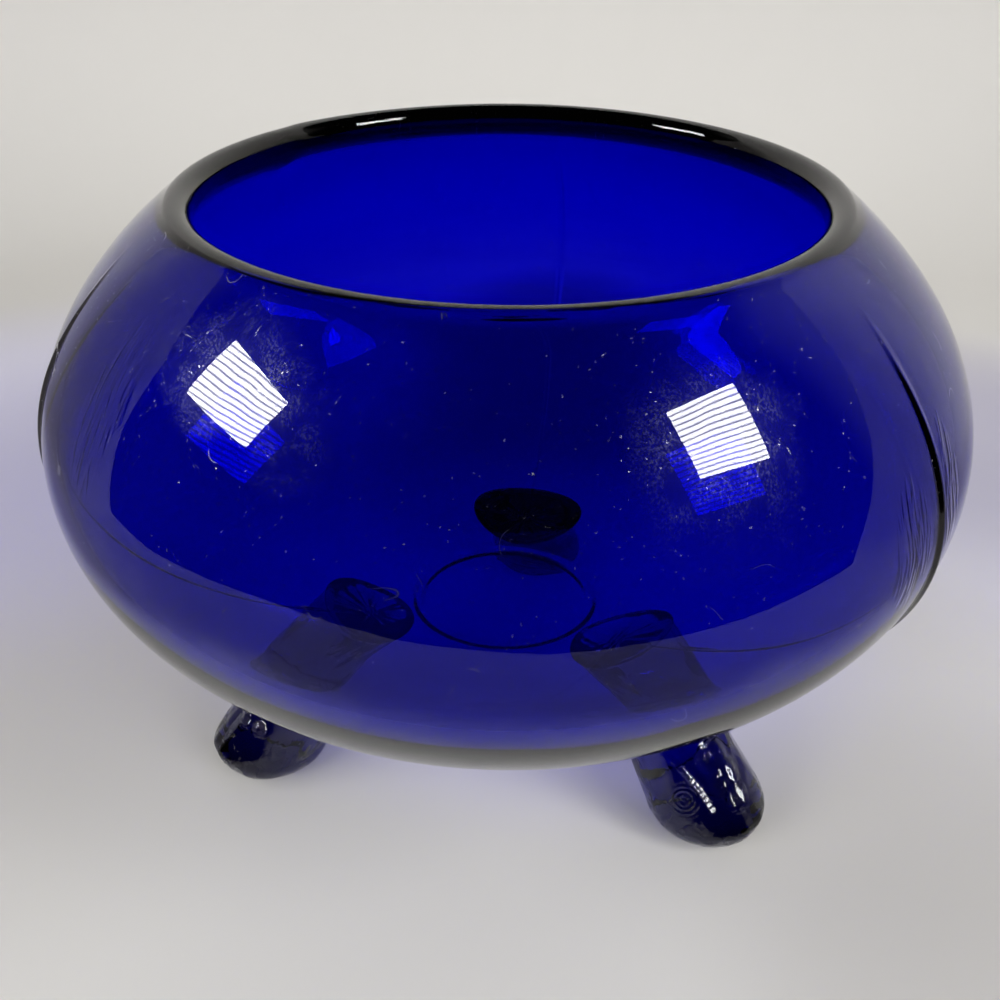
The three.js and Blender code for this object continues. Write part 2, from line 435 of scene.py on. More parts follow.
@dataclass(frozen=True)
class RippledGlass(CobaltGlass):
    """The feet: long ripples from the ankle to the toe, broken by the chill of the mould."""

    ripple: float = 0.8
    pucker: float = 0.1
    ring_spacing: float = 0.75
    toe_radius: float = 9.1
    scale_length: float = 0.85
    scale_width: float = 0.7
    scale_tilts: tuple[float, float] = (0.34, 0.124)
    sway: float = 1.2
    long_grain: tuple[float, float, float] = (0.35, 0.35, 0.04)
    fine_grain: tuple[float, float, float] = (0.6, 0.6, 0.4)
    sway_grain: tuple[float, float, float] = (0.25, 0.25, 0.2)
    bead_slope: tuple[float, float, float] = (-0.07, -0.35, -0.32)
    across: tuple[float, float, float] = (0.54, 0.84, 0.0)
    flatness: float = 0.9
    dents: tuple[Mark, ...] = ()
    beads: tuple[Mark, ...] = ()
    rings: tuple[Mark, ...] = ()

    def relief(self, graph: Graph) -> Wire:
        """Ripples along the foot, puckers across them, and the foot's dents, beads and rings."""
        grain = graph.stored("grain", "Vector")
        long = graph.noise(1.0, 0.5, graph.scaled(grain, self.long_grain))
        fine = graph.noise(1.0, 1.0, graph.scaled(grain, self.fine_grain))
        across, down, along = graph.split(grain)
        sway = graph.noise(1.0, 1.0, graph.scaled(grain, self.sway_grain)) * self.sway
        round_it = down.turn(across) * self.toe_radius
        rows = 1 - (along / self.scale_length + sway) % 1.0
        columns = (round_it / self.scale_width + sway) % 1.0
        dented = rows * self.scale_tilts[0] + columns * self.scale_tilts[1]
        total = long * self.ripple + fine * self.pucker
        for mark in self.dents:
            across_it = graph.beyond(mark, self.across)
            flat = across_it * across_it * (self.flatness / (2 * self.toe_radius))
            total = (dented + flat) * graph.near(mark) * mark.height + total
        for mark in self.beads:
            total = graph.beyond(mark, self.bead_slope) * graph.near(mark, 0.6) * mark.height + total
        for mark in self.rings:
            ring = self.wave(graph.distance(mark.place) / self.ring_spacing)
            total = ring * graph.near(mark) * mark.height + total
        return total

    def wave(self, turns: Wire) -> Wire:
        """Goes from 1 down to 0 and back, once in each turn."""
        return abs(turns % 1.0 - 0.5).rise(0.0, 0.5)


@dataclass(frozen=True)
class Patch:
    """An oval patch of the cloth in metres, and how strong its painted shade or painted glow is."""

    x: float
    y: float
    half_x: float
    half_y: float
    strength: float

    def over(self, x: Wire, y: Wire) -> Wire:
        """The patch's strength at a point. It fades out smoothly to its edge."""
        across, along = (x - self.x) / self.half_x, (y - self.y) / self.half_y
        return (1 - (across * across + along * along).rise(0.0, 1.0)) * self.strength


@dataclass(frozen=True)
class PaleCloth:
    """The plain pale matt surface of the floor and the backdrop, in metres and degrees, with painted
    shade and glow.
    """

    name: str = "pale_matt"
    colour: tuple[float, float, float, float] = (0.79, 0.775, 0.745, 1.0)
    # The colour of the deepest painted shade.
    shaded: tuple[float, float, float, float] = (0.325, 0.305, 0.308, 1.0)
    roughness: float = 0.9
    # These place the painted shade in front and to the sides, outside the camera's view, for the glass to
    # mirror dimly.
    facing: float = 10.0
    nearest: float = -0.06
    front_fade: float = 0.05
    half_width: float = 0.088
    widening: float = 0.385
    side_fades: tuple[float, float] = (0.01, 0.07)
    rear_fades: tuple[float, float] = (0.08, 0.2)
    # Painted shadows: the bowl's soft shadows on either side and a dark patch behind it.
    painted_shades: tuple[Patch, ...] = (
        Patch(-0.105, 0.020, 0.085, 0.130, 0.33),
        Patch(0.105, 0.115, 0.060, 0.070, 0.40),
        Patch(0.085, -0.045, 0.055, 0.065, 0.33),
        Patch(-0.010, 0.125, 0.050, 0.110, 0.90),
    )
    # Painted blue light: emission that stands in for the light the glass throws on the cloth.
    painted_glows: tuple[Patch, ...] = (
        Patch(0.0, 0.030, 0.080, 0.066, 0.22),
        Patch(-0.140, 0.065, 0.100, 0.100, 0.13),
        Patch(0.120, 0.100, 0.080, 0.090, 0.10),
    )

    def glow(self, graph: Graph) -> Wire:
        """Painted blue light: emission for the light the bowl throws on the cloth round its feet and on
        either side.
        """
        x, y, _ = graph.split(graph.place())
        return sum((patch.over(x, y) for patch in self.painted_glows), 0.0)

    def shade(self, graph: Graph) -> Wire:
        """Painted shade: how deep a point lies in the photographer's shade, outside the picture, or in
        the bowl's.
        """
        x, y, _ = graph.split(graph.place())
        c, s = math.cos(math.radians(self.facing)), math.sin(math.radians(self.facing))
        across, ahead = x * c + y * s, y * c - x * s
        clear, dark = (self.half_width + fade for fade in self.side_fades)
        beside = (abs(across) - ahead * self.widening).rise(clear, dark)
        before = 1 - ahead.rise(self.nearest - self.front_fade, self.nearest)
        front = beside.most(before) * (1 - y.rise(*self.rear_fades))
        return sum((patch.over(x, y) for patch in self.painted_shades), front).least(1.0)

    def make(self) -> bpy.types.Material:
        """Builds the material."""
        material = bpy.data.materials.new(self.name)
        material.use_nodes = True
        graph = Graph(material.node_tree)
        # The cloth's colour goes towards the painted shade colour where the painted shade is deep.
        colours = {"Factor": self.shade(graph), 6: self.colour, 7: self.shaded}
        colour = graph.node("ShaderNodeMix", {"data_type": "RGBA"}, colours, output=2)
        shader = graph.node(
            "ShaderNodeBsdfPrincipled",
            inputs={
                "Base Color": colour,
                "Roughness": self.roughness,
                "Specular IOR Level": 0.1,
                # The painted blue light glows from the cloth itself, not from any lamp.
                "Emission Color": graph.join(0.0, 0.0, self.glow(graph)),
                "Emission Strength": 1.0,
            },
        )
        graph.node("ShaderNodeOutputMaterial", inputs={"Surface": shader})
        return material


@dataclass
class BowlProfile:
    """The bowl's half section in millimetres, as the solids have it."""

    belly_radius: float = 63.5
    belly_height: float = 60.8
    overall_height: float = 92.2
    underside_drop: float = 40.0
    mouth_radius: float = 40.3
    lip_radius: float = 2.1
    lip_face: float = 0.8
    lip_undercut: float = 2.6
    wall: float = 3.2
    rim_growth: float = 1.8
    growth_start: float = -0.15
    base: float = 5.5
    shoulder_slack: float = 0.043
    underside_slack: float = 0.016
    ring_radius: float = 14.5
    ring_half_width: float = 1.5
    ring_height: float = 0.5

    def quarter(self, rise: float, slack: float, angle: float) -> Vector:
        """A quarter ellipse, drawn in a little between its ends. Its angle is 0 at the belly."""
        shrink = 1 - slack * math.sin(2 * angle) ** 2
        across = self.belly_radius * math.cos(angle) * shrink
        return Vector((across, self.belly_height + rise * math.sin(angle) * shrink))

    def dome(self, rise: float) -> Callable[[float], Vector]:
        """The shoulder's profile for a rise above the belly."""
        return lambda angle: self.quarter(rise, self.shoulder_slack, angle)

    @property
    def lip_centre(self) -> Vector:
        """The middle of the rounded lip's section."""
        return Vector((self.mouth_radius + self.lip_radius, self.overall_height - self.lip_radius))

    @cached_property
    def shoulder(self) -> tuple[float, float]:
        """The dome's rise, and the angle at which its wall runs into the lip."""

        def inward(rise: float, angle: float) -> float:
            """How far inwards a dome reaches, a lip's radius under its surface."""
            return -self.under(self.dome(rise), angle, self.lip_radius).x

        def end_angle(rise: float) -> float:
            """Where a dome of this rise lies a lip's radius outside the lip's centre."""
            return solve(lambda angle: inward(rise, angle), -self.lip_centre.x, 0, QUARTER)

        def end_height(rise: float) -> float:
            """How high that point is."""
            return self.under(self.dome(rise), end_angle(rise), self.lip_radius).y

        rise = solve(end_height, self.lip_centre.y, 0, 10 * self.overall_height)
        return rise, end_angle(rise)

    def direction(self, profile: Callable[[float], Vector], angle: float) -> Vector:
        """The way up the wall at an angle."""
        return (profile(angle + 1e-4) - profile(angle - 1e-4)).normalized()

    def under(self, profile: Callable[[float], Vector], angle: float, depth: float) -> Vector:
        """The point at a depth under a profile's surface."""
        along = self.direction(profile, angle)
        return profile(angle) - Vector((along.y, -along.x)) * depth

    def outer(self, angle: float) -> Vector:
        """A point of the outside. Its angle runs from under the middle up to the lip."""
        if angle < 0:
            return self.quarter(self.underside_drop, self.underside_slack, angle)
        return self.quarter(self.shoulder[0], self.shoulder_slack, angle)

    def normal(self, angle: float) -> Vector:
        """The outward normal of the outside."""
        along = self.direction(self.outer, angle)
        return Vector((along.y, -along.x))

    def inner(self, angle: float) -> Vector:
        """A point of the inside."""
        thicker = math.sin(angle) ** 2 if angle < 0 else 0
        share = (angle - self.growth_start) / (self.shoulder[1] - self.growth_start)
        growth = self.rim_growth * smooth(share)
        return self.under(self.outer, angle, self.wall + (self.base - self.wall) * thicker + growth)

    def underside_angle(self, radius: float) -> float:
        """The angle at which the underside reaches a radius."""
        return solve(lambda a: self.outer(a).x, radius, -QUARTER, 0)

    def underside_height(self, radius: float) -> float:
        """How high the underside is above the floor at a radius."""
        return self.outer(self.underside_angle(radius)).y

    @cached_property
    def ring_edges(self) -> tuple[float, float]:
        """The angles of the ring's inner and outer edge."""
        inside = self.underside_angle(self.ring_radius - self.ring_half_width)
        return inside, self.underside_angle(self.ring_radius + self.ring_half_width)

    def ring_at(self, angle: float) -> float:
        """How far the ring stands out of the underside."""
        offset = (self.outer(angle).x - self.ring_radius) / self.ring_half_width
        if angle >= 0 or abs(offset) >= 1:
            return 0.0
        return self.ring_height * math.cos(offset * QUARTER) ** 2


@dataclass
class Seams:
    """The three mould seams, in millimetres."""

    count: int = 3
    first: float = QUARTER
    height: float = 0.4
    half_width: float = 1.0
    top: float = 0.9
    run_in: float = 0.45

    def offset(self, azimuth: float) -> float:
        """The angle from the nearest seam."""
        sector = FULL / self.count
        return (azimuth - self.first + sector / 2) % sector - sector / 2


@dataclass
class Lip:
    """How the fire-polished lip strays from an even ring, in millimetres and degrees from -Y.

    Each of its waves is a share, how often it goes round the ring, and where it starts in radians.
    """

    wave: float = 0.22
    waves: tuple[tuple[float, int, float], ...] = ((0.5, 2, 0.6), (0.3, 3, 2.0), (0.2, 5, 0.0))
    kink: float = -118.5
    twist: float = 0.1
    kink_half_width: float = 2.2
    left_run: float = 50.0
    right_run: float = 30.0
    reach: float = 6.0

    def sag(self, azimuth: float) -> float:
        """How far the rim lies under its highest point at an azimuth in radians."""
        wave = sum(share * math.sin(count * azimuth + start) for share, count, start in self.waves)
        return (1 - wave) * self.wave / 2

    def tilt(self, azimuth: float) -> float:
        """How steeply the crown rises outwards at an azimuth in radians. It flips at the kink."""
        past = (math.degrees(azimuth) + 90 - self.kink + 180) % 360 - 180
        run = self.left_run if past > 0 else self.right_run
        size = smooth(abs(past) / self.kink_half_width) * smooth(1 - abs(past) / run)
        return -math.copysign(size * self.twist, past)


@dataclass
class GlassBowl:
    """The bowl: a turned shell with its seams and its gently uneven wall and lip."""

    profile: BowlProfile = field(default_factory=BowlProfile)
    seams: Seams = field(default_factory=Seams)
    lip: Lip = field(default_factory=Lip)
    columns_between: int = 84
    columns_on_seam: int = 12
    seam_band: float = 2.1
    waviness: float = 0.05
    base_steps: int = 8
    ring_steps: int = 10
    underside_steps: int = 44
    shoulder_steps: int = 40
    lip_steps: int = 20
    undercut_steps: int = 10
    inside_steps: int = 70
    glass: CobaltGlass = HandledGlass(Slot.BODY.value)

    def outline(self) -> list[tuple[Vector, Vector, float]]:
        """The whole half section from the axis under the base round to the axis inside.

        Returns:
            Each point with its outward normal and its profile angle. Points that aren't on the
            outer wall have no normal.
        """
        p = self.profile
        top = p.shoulder[1]
        ring_in, ring_out = p.ring_edges
        angles = spread(-QUARTER, ring_in, self.base_steps) + spread(ring_in, ring_out, self.ring_steps)
        angles += spread(ring_out, 0, self.underside_steps) + spread(0, top, self.shoulder_steps) + [top]
        none = Vector((0, 0))
        points = []
        for angle in angles:
            normal = p.normal(angle)
            points.append((p.outer(angle) + normal * p.ring_at(angle), normal, angle))
        points[0] = (Vector((0, points[0][0].y)), none, -QUARTER)
        start = math.atan2(points[-1][1].y, points[-1][1].x)
        for step in range(1, self.lip_steps + 1):
            turn = start + (math.pi - start) * step / self.lip_steps
            rim = p.lip_centre + Vector((math.cos(turn), math.sin(turn))) * p.lip_radius
            points.append((rim, none, top))
        points += [(at, none, top) for at in self.undercut()]
        return points

    def undercut(self) -> list[Vector]:
        """The rounding under the lip and the inner wall, down to the axis."""
        p = self.profile
        meet_radius = p.mouth_radius + p.lip_undercut
        meet_angle = solve(lambda a: -p.inner(a).x, -meet_radius, 0, p.shoulder[1])
        meet = p.inner(meet_angle)
        along = p.direction(p.inner, meet_angle)
        corner = meet + along * ((p.mouth_radius - meet.x) / along.x)
        start = Vector((p.mouth_radius, p.lip_centre.y - p.lip_face))
        points = []
        for step in range(self.undercut_steps):
            s = step / self.undercut_steps
            points.append(start * (1 - s) ** 2 + corner * 2 * s * (1 - s) + meet * s * s)
        for step in range(self.inside_steps + 1):
            points.append(p.inner(meet_angle + (-QUARTER - meet_angle) * step / self.inside_steps))
        points[-1].x = 0
        return points

    def warp(self, azimuth: float) -> float:
        """Draws evenly spaced columns together across each seam."""
        s = self.seams
        sector = FULL / s.count
        steps = self.columns_between + self.columns_on_seam
        band = self.seam_band / self.profile.belly_radius
        offset = s.offset(azimuth)
        share = offset / sector * steps
        edge = self.columns_on_seam / 2
        if abs(share) <= edge:
            moved = share / edge * band
        else:
            rest = (abs(share) - edge) / (steps / 2 - edge)
            moved = math.copysign(band + rest * (sector / 2 - band), share)
        return azimuth - offset + moved

    def lift(self, azimuth: float, angle: float, at: Vector) -> float:
        """How far the outside stands out of the turned form.

        Args:
            azimuth: The direction round the axis.
            angle: The profile angle.
            at: The point, in millimetres.

        Returns:
            The height in millimetres.
        """
        s, p = self.seams, self.profile
        top = s.top * p.shoulder[1]
        ring_out = p.ring_edges[1]
        strength = smooth((top - angle) / top * 1.6) * smooth((angle - ring_out) / (-ring_out * s.run_in))
        across = s.offset(azimuth) * p.belly_radius
        ridge = math.cos(min(abs(across) / s.half_width, 1) * QUARTER) ** 2 * s.height
        broad = noise.noise(at * 0.055) * self.waviness * smooth((p.shoulder[1] - angle) / 0.25)
        return ridge * strength + broad - abs(self.waviness)

    def build(self) -> bpy.types.Object:
        """Turns the outline and works the seams and the lip into it.

        Returns:
            The bowl.
        """
        bm = bmesh.new()
        data = bm.verts.layers.float_vector.new("section")
        outside = bm.verts.layers.float.new("outside")
        line = []
        for at, normal, angle in self.outline():
            vert = bm.verts.new((at.x * MM, 0, at.y * MM))
            vert[data] = (normal.x, normal.y, angle)
            vert[outside] = 1.0 if normal.x or normal.y else 0.0
            line.append(vert)
        edges = [bm.edges.new(pair) for pair in zip(line, line[1:])]
        steps = self.seams.count * (self.columns_between + self.columns_on_seam)
        bmesh.ops.spin(
            bm,
            geom=line + edges,
            cent=(0, 0, 0),
            axis=(0, 0, 1),
            dvec=(0, 0, 0),
            angle=FULL,
            steps=steps,
            use_merge=True,
            use_duplicate=False,
        )
        bmesh.ops.remove_doubles(bm, verts=bm.verts[:], dist=1e-7)
        bmesh.ops.recalc_face_normals(bm, faces=bm.faces[:])
        for vert in bm.verts:
            self.shape(vert, Vector(vert[data]))
        return finish_mesh(bm, "bowl_glass", self.glass.make(), "bowl")

    def shape(self, vert: bmesh.types.BMVert, section: Vector) -> None:
        """Moves one vertex of the turned form to its place on the real, less even one."""
        p = self.profile
        x, y, z = vert.co / MM
        radius = math.hypot(x, y)
        if radius < 1e-4:
            return
        azimuth = self.warp(math.atan2(y, x))
        at = Vector((radius * math.cos(azimuth), radius * math.sin(azimuth), z))
        if section.x or section.y:
            lift = self.lift(azimuth, section.z, at)
            radius += section.x * lift
            z += section.y * lift
        rim = smooth((z - (p.overall_height - self.lip.reach)) / self.lip.reach)
        sag = self.lip.sag(azimuth)
        z += (self.lip.tilt(azimuth) * (radius - p.lip_centre.x) - sag) * rim
        radius -= sag * 0.5 * rim
        vert.co = Vector((radius * math.cos(azimuth), radius * math.sin(azimuth), z)) * MM


@dataclass
class GlassFoot:
    """One splayed toe, in millimetres: a rounded toe, a slimmer waist and a flare into the underside.

    Each half size is a pair: along the foot, then across it.
    """

    name: str
    node: str
    azimuth: float
    profile: BowlProfile
    seed: float = 0.0
    reach: float = 41.0
    waist_reach: float = 33.5
    ankle_reach: float = 23.3
    sole: tuple[float, float] = (5.5, 5.0)
    toe: tuple[float, float] = (9.6, 9.1)
    waist: tuple[float, float] = (8.8, 8.2)
    ankle: tuple[float, float] = (6.8, 9.6)
    taper: float = 0.25
    toe_rise: float = 4.6
    waist_rise: float = 15.0
    bend_rise: float = 4.5
    sides: int = 128
    toe_steps: int = 16
    waist_steps: int = 20
    flare_steps: int = 18
    sink: float = 0.15
    swell: float = 0.2
    glass: CobaltGlass = RippledGlass(Slot.FEET.value)

    def lean(self) -> float:
        """How far the foot leans out for each millimetre down from its waist to its toe."""
        return (self.reach - self.waist_reach) / (self.waist_rise - self.toe_rise)

    def ring(self, rise: float, half: tuple[float, float]) -> list[Vector]:
        """A level section of the foot, which stands out along +X.

        Args:
            rise: Height above the floor.
            half: Half its length and half its width.

        Returns:
            The section's points.
        """
        centre = self.reach - self.lean() * max(rise - self.toe_rise, 0)
        turns = [FULL * side / self.sides for side in range(self.sides)]
        return [Vector((centre + half[0] * math.cos(t), half[1] * math.sin(t), rise)) for t in turns]

    def seat(self, half: tuple[float, float], depth: float) -> list[Vector]:
        """A section that lies against the underside, at a depth inside the bowl's wall."""
        points = []
        for side in range(self.sides):
            turn = FULL * side / self.sides
            x = self.ankle_reach + half[0] * math.cos(turn)
            y = half[1] * math.sin(turn) * (1 + self.taper * math.cos(turn))
            points.append(Vector((x, y, self.profile.underside_height(math.hypot(x, y)) + depth)))
        return points

    def sections(self) -> list[list[Vector]]:
        """All sections from the middle of the sole up to the middle of the seat."""
        rings = [self.ring(0, (self.sole[0] * s, self.sole[1] * s)) for s in (0.15, 0.5, 0.85, 1.0)]
        for step in range(1, self.toe_steps + 1):
            turn = QUARTER * step / self.toe_steps
            half = tuple(a + (b - a) * math.sin(turn) for a, b in zip(self.sole, self.toe))
            rings.append(self.ring(self.toe_rise * (1 - math.cos(turn)), half))
        for step in range(1, self.waist_steps + 1):
            s = step / self.waist_steps
            half = tuple(a + (b - a) * smooth(s) for a, b in zip(self.toe, self.waist))
            rings.append(self.ring(self.toe_rise + (self.waist_rise - self.toe_rise) * s, half))
        low = rings[-1]
        high = self.seat(self.ankle, 0)
        middle = tuple((a + b) / 2 for a, b in zip(self.waist, self.ankle))
        bend = self.ring(self.waist_rise + self.bend_rise, middle)
        for step in range(1, self.flare_steps + 1):
            s = step / self.flare_steps
            rings.append(
                [a * (1 - s) ** 2 + c * 2 * s * (1 - s) + b * s * s for a, b, c in zip(low, high, bend)]
            )
        for share in (1.03, 0.8, 0.5, 0.2):
            rings.append(self.seat(tuple(a * share for a in self.ankle), self.sink))
        return rings

    def build(self) -> bpy.types.Object:
        """Extrudes the sections one from another and closes both ends.

        Returns:
            The foot.
        """
        rings = self.sections()
        bm = bmesh.new()
        grain = bm.verts.layers.float_vector.new("grain")
        made = bmesh.ops.create_circle(bm, cap_ends=True, segments=self.sides, radius=1.0)
        loop = made["verts"]
        for vert, at in zip(loop, rings[0]):
            vert.co = at
        bmesh.ops.poke(bm, faces=bm.faces[:])
        path = [0.0] * self.sides
        for low, ring in zip(rings, rings[1:]):
            fresh = grow(bm)
            loop = [grown_from(vert, fresh) for vert in loop]
            for side, (vert, at) in enumerate(zip(loop, ring)):
                turn = FULL * side / self.sides
                path[side] += (at - low[side]).length
                around = Vector((math.cos(turn), math.sin(turn))) * min(path[side] + 2, self.toe[1])
                vert.co = at
                vert[grain] = (around.x, around.y, path[side] + 60 * self.seed)
        ends = bmesh.ops.contextual_create(bm, geom=[e for e in bm.edges if e.is_boundary])
        bmesh.ops.poke(bm, faces=ends["faces"])
        bmesh.ops.recalc_face_normals(bm, faces=bm.faces[:])
        self.roughen(bm)
        turn = Matrix.Rotation(self.azimuth, 4, "Z") @ Matrix.Scale(MM, 4)
        bmesh.ops.transform(bm, matrix=turn, verts=bm.verts[:])
        return finish_mesh(bm, self.name, self.glass.make(), self.node)

    def roughen(self, bm: bmesh.types.BMesh) -> None:
        """Gives the toe the soft, broken swells of glass that chilled in its mould."""
        top = self.profile.underside_height(self.ankle_reach)
        for vert in bm.verts:
            shown = smooth(vert.co.z / 2.5) * smooth((top - 1 - vert.co.z) / 6)
            at = vert.co + Vector((0, 0, 40 * self.seed))
            swell = noise.noise(at * 0.23) + 0.3 * noise.noise(at * 0.5)
            vert.co += vert.normal * (swell - 0.5) * self.swell * shown


def finish_mesh(
    bm: bmesh.types.BMesh,
    name: str,
    material: bpy.types.Material,
    node: str,
) -> bpy.types.Object:
    """Makes a finished piece of a mesh, in place of its node.

    Args:
        bm: The mesh, in metres and in place. It is freed.
        name: The piece's name.
        material: What it is made of.
        node: The node that it stands for.

    Returns:
        The piece.
    """
    piece = make_object(bm, name, material)
    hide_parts(node)
    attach(piece, "root")
    log.info("%s stands for %s with %d faces", name, node, len(piece.data.polygons))
    return piece


@dataclass
class Stage:
    """A pale cloth that lies flat under the bowl and hangs up behind and beside it, in metres.

    Each stop is an azimuth from -Y towards +X in degrees, with the cloth's reach from the bowl's
    axis and the height that it hangs up to there.
    """

    stops: tuple[tuple[float, float, float], ...] = (
        (-135.0, 0.33, 0.43),
        (-101.0, 0.33, 0.29),
        (-85.0, 0.33, 0.18),
        (-78.0, 0.42, 0.0),
        (-66.0, 0.37, 0.0),
        (-38.0, 0.47, 0.0),
        (-10.0, 0.33, 0.0),
        (18.0, 0.27, 0.0),
        (55.0, 0.31, 0.0),
        (83.0, 0.37, 0.0),
        (119.0, 0.33, 0.33),
        (150.0, 0.33, 0.43),
    )
    bend: float = 0.07
    rings: int = 60
    sides: int = 180
    cloth: PaleCloth = PaleCloth()

    def edge(self, azimuth: float) -> tuple[float, float]:
        """The reach and the height at an azimuth in degrees."""
        stops = self.stops + tuple((a + 360, r, h) for a, r, h in self.stops[:1])
        azimuth = (azimuth - stops[0][0]) % 360 + stops[0][0]
        for low, high in zip(stops, stops[1:]):
            if azimuth <= high[0]:
                s = (azimuth - low[0]) / (high[0] - low[0])
                return tuple(a + (b - a) * s for a, b in zip(low[1:], high[1:]))
        return stops[-1][1:]

    def place(self, azimuth: float, share: float) -> Vector:
        """The point at a share of the way from the middle to the cloth's edge."""
        reach, height = self.edge(azimuth)
        flat = reach - self.bend
        way = share * (reach + height)
        turn = min(max((way - flat) / self.bend, 0), QUARTER)
        over = max(way - flat - self.bend * QUARTER, 0)
        radius = min(way, flat) + self.bend * math.sin(turn)
        rise = self.bend * (1 - math.cos(turn)) + over
        if not height:
            radius, rise = way, 0.0
        a = math.radians(azimuth)
        return Vector((radius * math.sin(a), -radius * math.cos(a), rise))

    def build(self) -> None:
        """Makes the cloth."""
        bm = bmesh.new()
        bmesh.ops.create_circle(bm, segments=self.sides, radius=1.0)
        loop = sorted(bm.verts, key=lambda v: math.atan2(v.co.x, -v.co.y))
        bmesh.ops.contextual_create(bm, geom=bm.edges[:])
        bmesh.ops.poke(bm, faces=bm.faces[:])
        azimuths = {v: math.degrees(math.atan2(v.co.x, -v.co.y)) for v in loop}
        for vert, azimuth in azimuths.items():
            vert.co = self.place(azimuth, 1 / self.rings)
        for ring in range(2, self.rings + 1):
            fresh = grow(bm)
            azimuths = {grown_from(vert, fresh): azimuth for vert, azimuth in azimuths.items()}
            for vert, azimuth in azimuths.items():
                vert.co = self.place(azimuth, ring / self.rings)
        bmesh.ops.recalc_face_normals(bm, faces=bm.faces[:])
        make_object(bm, "floor", self.cloth.make())


@dataclass
class SoftBox:
    """A lamp with a soft square face, in metres and degrees. Its azimuth runs from -Y towards +X.

    It shows in the glass with one radiance and lights the cloth with another, as the photograph's
    tones are flatter than the light was. Its face may have slats across it, at a spacing and a slant.
    """

    name: str
    place: tuple[float, float, float]
    azimuth: float
    elevation: float
    width: float
    height: float
    roll: float = 0.0
    mirrored: float = 0.0
    lighting: float = 7.2
    spacing: float = 0.0
    slant: float = 0.0

    def build(self) -> None:
        """Makes one light for the glass and one for the cloth, where they aren't dark."""
        for use, radiance in (("mirrored", self.mirrored), ("lighting", self.lighting)):
            if radiance:
                lamp = self.light(use, radiance)
                if self.spacing and use == "mirrored":
                    self.hang_slats(lamp)
                lamp.visible_glossy = lamp.visible_transmission = use == "mirrored"
                lamp.visible_diffuse = use == "lighting"

    def hang_slats(self, lamp: bpy.types.Object) -> None:
        """Makes the lamp's face show slats that waver a little. Their slant is 0 along its width."""
        lamp.data.use_nodes = True
        graph = Graph(lamp.data.node_tree)
        turn = math.radians(self.slant)
        way = lamp.matrix_world.to_3x3() @ Vector((-math.sin(turn), math.cos(turn), 0)) / self.spacing
        place = graph.node("ShaderNodeNewGeometry", output="Position")
        along = {0: place, 1: tuple(way)}
        across = graph.node("ShaderNodeVectorMath", {"operation": "DOT_PRODUCT"}, along, output="Value")
        across = across + graph.noise(6.0, 1.0, place) * 0.9
        bright = abs(across % 1.0 - 0.5).rise(0.03, 0.3) * 0.85 + 0.15
        glow = graph.node("ShaderNodeEmission", inputs={"Strength": bright})
        graph.node("ShaderNodeOutputLight", inputs={"Surface": glow})

    def light(self, use: str, radiance: float) -> bpy.types.Object:
        """Makes one light, with its back towards the lamp's azimuth and elevation.

        Args:
            use: What it is for, as part of its name.
            radiance: How bright its face is.

        Returns:
            The light.
        """
        a, e, r = (math.radians(v) for v in (self.azimuth, self.elevation, self.roll))
        back = Vector((math.sin(a) * math.cos(e), -math.cos(a) * math.cos(e), math.sin(e)))
        side = Vector((0, 0, 1)).cross(back).normalized()
        light = bpy.data.lights.new(f"{self.name}_{use}", "AREA")
        light.shape = "RECTANGLE"
        light.size = self.width
        light.size_y = self.height
        light.energy = radiance * math.pi * self.width * self.height
        lamp = bpy.data.objects.new(light.name, light)
        aim(lamp, Vector(self.place), back, side, r)
        return lamp


@dataclass
class Room:
    """The room: dark above and in front, pale where the camera or the glass looks past the floor.

    Each pair says how far back or up a part of it starts and ends, as shares of a unit direction.
    """

    pale: tuple[float, float, float, float] = (0.74, 0.73, 0.71, 1.0)
    fill: float = 0.36
    mirrored: float = 0.012
    veil: float = 0.35
    pale_fades: tuple[float, float] = (0.3, 0.62)
    veil_starts: tuple[float, float] = (0.1, 0.5)
    veil_fades: tuple[float, float] = (0.68, 0.83)

    def build(self) -> None:
        """Makes the world."""
        world = bpy.data.worlds.new("room")
        world.use_nodes = True
        graph = Graph(world.node_tree)
        camera = graph.node("ShaderNodeLightPath", output="Is Camera Ray")
        glossy = graph.node("ShaderNodeLightPath", output="Is Glossy Ray")
        through = graph.node("ShaderNodeLightPath", output="Is Transmission Ray")
        _, back, up = graph.split(graph.node("ShaderNodeTexCoord", output="Generated"))
        low = 1 - up.rise(*self.pale_fades)
        behind = back.rise(*self.veil_starts) * (1 - up.rise(*self.veil_fades)) * self.veil
        shown = camera.most(through * low)
        dark = glossy * (1 - shown)
        seen = shown + (1 - shown) * (dark * behind.most(self.mirrored) + (1 - dark) * self.fill)
        lighting = graph.node("ShaderNodeLightPath", output="Diffuse Depth").least(1.0)
        strength = lighting * self.fill + (1 - lighting) * seen
        background = graph.node(
            "ShaderNodeBackground", inputs={"Color": self.pale, "Strength": strength}
        )
        graph.node("ShaderNodeOutputWorld", inputs={"Surface": background})
        bpy.context.scene.world = world


@dataclass
class Camera:
    """The photograph's camera: a wide one, close in front of the bowl and looking down over its rim.

    Its place is in millimetres and its angles are in degrees.
    """

    place: tuple[float, float, float] = (22.02, -129.65, 129.55)
    azimuth: float = 10.02
    pitch: float = 33.778
    roll: float = 0.4325
    lens: float = 36.0
    sensor: float = 36.0

    def build(self) -> None:
        """Makes the camera and makes it the scene's own."""
        a, p, r = (math.radians(v) for v in (self.azimuth, self.pitch, self.roll))
        back = Vector((math.sin(a) * math.cos(p), -math.cos(a) * math.cos(p), math.sin(p)))
        right = Vector((math.cos(a), math.sin(a), 0))
        data = bpy.data.cameras.new("camera")
        data.lens = self.lens
        data.sensor_width = self.sensor
        data.clip_start = 0.01
        camera = bpy.data.objects.new("camera", data)
        aim(camera, Vector(self.place) * MM, back, right, r)
        bpy.context.scene.camera = camera


